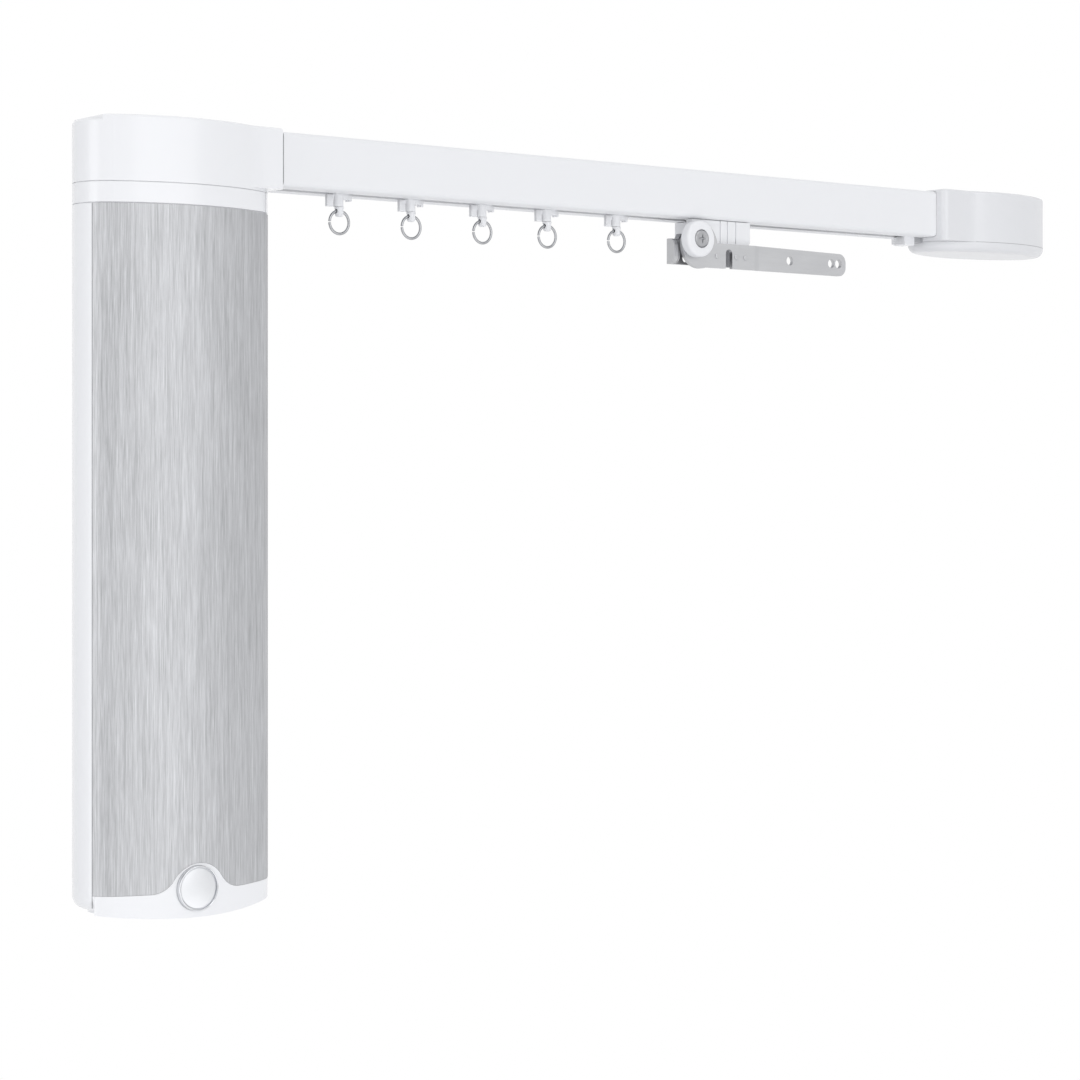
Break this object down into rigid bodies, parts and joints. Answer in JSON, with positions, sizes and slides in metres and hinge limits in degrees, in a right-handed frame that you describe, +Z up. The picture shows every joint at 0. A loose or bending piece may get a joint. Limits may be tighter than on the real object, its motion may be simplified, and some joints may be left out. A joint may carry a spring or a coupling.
{
  "type": "electric_curtain_track",
  "caption": "Electric curtain track: slotted white rail, hanging tubular motor housing, belt return end, five ring gliders and a leading carrier with two steel arms.",
  "frame": {"origin": "middle of the track's top face, in the mouth of the ceiling clip slot", "axes": "+X along the track away from the motor, +Y towards the wall behind, +Z up"},
  "size_m": [0.5728, 0.0496, 0.325],
  "materials": {
    "white_plastic": "semi-gloss",
    "carrier_plastic": "satin",
    "coated_aluminium": "satin powder coat",
    "brushed_aluminium": "brushed",
    "bright_chrome": "polished",
    "plated_steel": "zinc plated",
    "machined_steel": "machined",
    "acetal": "moulded",
    "belt_rubber": "matt",
    "board": "solder mask",
    "dark_plastic": "satin"
  },
  "bodies": {
    "frame": {"drive_head_housing": "white_plastic", "head_collar": "white_plastic", "motor_rear_shell": "white_plastic", "motor_front_shell": "white_plastic", "motor_bottom_plate": "white_plastic", "return_housing": "white_plastic", "return_cover": "white_plastic", "end_stop_block": "white_plastic", "head_floor": "white_plastic", "track_profile": "coated_aluminium", "motor_front_plate": "brushed_aluminium", "emblem_ring": "bright_chrome", "emblem_disc": "bright_chrome", "end_stop_plate": "plated_steel", "shaft_bearing": "machined_steel", "return_axle": "machined_steel", "motor_top_plate": "machined_steel", "gearbox": "machined_steel", "motor_can": "machined_steel", "brake_unit": "machined_steel", "toothed_belt": "belt_rubber", "control_board": "board", "power_inlet": "dark_plastic", "control_socket": "dark_plastic"},
    "drive_train": {"drive_pulley": "acetal", "drive_shaft": "machined_steel"},
    "return_wheel": {"return_pulley": "acetal", "return_bearing": "machined_steel"},
    "carrier": {"carrier_body": "carrier_plastic", "belt_clamp": "acetal", "carrier_knob": "carrier_plastic", "carrier_screw": "plated_steel", "carrier_nut": "plated_steel", "carrier_arm": "plated_steel", "rear_arm": "plated_steel", "bumper_pads": "carrier_plastic"},
    "wheels_left": {"carrier_wheels_left": "acetal"},
    "wheels_right": {"carrier_wheels_right": "acetal"},
    "glider_1": {"glider_body_1": "white_plastic"},
    "eye_1": {"glider_eye_1": "white_plastic"},
    "ring_1": {"glider_ring_1": "bright_chrome"},
    "glider_2": {"glider_body_2": "white_plastic"},
    "eye_2": {"glider_eye_2": "white_plastic"},
    "ring_2": {"glider_ring_2": "bright_chrome"},
    "glider_3": {"glider_body_3": "white_plastic"},
    "eye_3": {"glider_eye_3": "white_plastic"},
    "ring_3": {"glider_ring_3": "bright_chrome"},
    "glider_4": {"glider_body_4": "white_plastic"},
    "eye_4": {"glider_eye_4": "white_plastic"},
    "ring_4": {"glider_ring_4": "bright_chrome"},
    "glider_5": {"glider_body_5": "white_plastic"},
    "eye_5": {"glider_eye_5": "white_plastic"},
    "ring_5": {"glider_ring_5": "bright_chrome"}
  },
  "joints": [
    {"name": "carrier_slide", "type": "slide", "parent": "frame", "child": "carrier", "axis": [1, 0, 0], "range_m": [-0.13, 0.1]},
    {"name": "drive_spin", "type": "hinge", "parent": "frame", "child": "drive_train", "pos_m": [-0.2422, 0, -0.0103], "axis": [0, 0, 1], "range_deg": [-672, 518]},
    {"name": "return_spin", "type": "hinge", "parent": "frame", "child": "return_wheel", "pos_m": [0.2432, 0, -0.0103], "axis": [0, 0, 1], "range_deg": [-672, 518]},
    {"name": "wheel_spin_left", "type": "hinge", "parent": "carrier", "child": "wheels_left", "pos_m": [0.0475, 0, -0.0192], "axis": [0, 1, 0], "continuous": true},
    {"name": "wheel_spin_right", "type": "hinge", "parent": "carrier", "child": "wheels_right", "pos_m": [0.0675, 0, -0.0192], "axis": [0, 1, 0], "continuous": true},
    {"name": "glider_slide_1", "type": "slide", "parent": "frame", "child": "glider_1", "axis": [1, 0, 0], "range_m": [-0.0161, 0.0125]},
    {"name": "eye_swivel_1", "type": "hinge", "parent": "glider_1", "child": "eye_1", "pos_m": [-0.15896, 0, -0.0286], "axis": [0, 0, 1], "continuous": true},
    {"name": "ring_swing_1", "type": "hinge", "parent": "eye_1", "child": "ring_1", "pos_m": [-0.15896, 0, -0.03035], "axis": [1, 0, 0], "range_deg": [-60, 60]},
    {"name": "glider_slide_2", "type": "slide", "parent": "frame", "child": "glider_2", "axis": [1, 0, 0], "range_m": [-0.0395, 0.0305]},
    {"name": "eye_swivel_2", "type": "hinge", "parent": "glider_2", "child": "eye_2", "pos_m": [-0.12081, 0, -0.0286], "axis": [0, 0, 1], "continuous": true},
    {"name": "ring_swing_2", "type": "hinge", "parent": "eye_2", "child": "ring_2", "pos_m": [-0.12081, 0, -0.03035], "axis": [1, 0, 0], "range_deg": [-60, 60]},
    {"name": "glider_slide_3", "type": "slide", "parent": "frame", "child": "glider_3", "axis": [1, 0, 0], "range_m": [-0.0642, 0.0495]},
    {"name": "eye_swivel_3", "type": "hinge", "parent": "glider_3", "child": "eye_3", "pos_m": [-0.0815, 0, -0.0286], "axis": [0, 0, 1], "continuous": true},
    {"name": "ring_swing_3", "type": "hinge", "parent": "eye_3", "child": "ring_3", "pos_m": [-0.0815, 0, -0.03035], "axis": [1, 0, 0], "range_deg": [-60, 60]},
    {"name": "glider_slide_4", "type": "slide", "parent": "frame", "child": "glider_4", "axis": [1, 0, 0], "range_m": [-0.0863, 0.0665]},
    {"name": "eye_swivel_4", "type": "hinge", "parent": "glider_4", "child": "eye_4", "pos_m": [-0.04429, 0, -0.0286], "axis": [0, 0, 1], "continuous": true},
    {"name": "ring_swing_4", "type": "hinge", "parent": "eye_4", "child": "ring_4", "pos_m": [-0.04429, 0, -0.03035], "axis": [1, 0, 0], "range_deg": [-60, 60]},
    {"name": "glider_slide_5", "type": "slide", "parent": "frame", "child": "glider_5", "axis": [1, 0, 0], "range_m": [-0.1136, 0.0875]},
    {"name": "eye_swivel_5", "type": "hinge", "parent": "glider_5", "child": "eye_5", "pos_m": [-0.00288, 0, -0.0286], "axis": [0, 0, 1], "continuous": true},
    {"name": "ring_swing_5", "type": "hinge", "parent": "eye_5", "child": "ring_5", "pos_m": [-0.00288, 0, -0.03035], "axis": [1, 0, 0], "range_deg": [-60, 60]}
  ],
  "couplings": [
    {"joint": "drive_spin", "follows": "carrier_slide", "rad_per_m": 89.686},
    {"joint": "return_spin", "follows": "carrier_slide", "rad_per_m": 89.686},
    {"joint": "glider_slide_1", "follows": "carrier_slide", "ratio": 0.12},
    {"joint": "glider_slide_2", "follows": "carrier_slide", "ratio": 0.3},
    {"joint": "glider_slide_3", "follows": "carrier_slide", "ratio": 0.49},
    {"joint": "glider_slide_4", "follows": "carrier_slide", "ratio": 0.66},
    {"joint": "glider_slide_5", "follows": "carrier_slide", "ratio": 0.87}
  ]
}
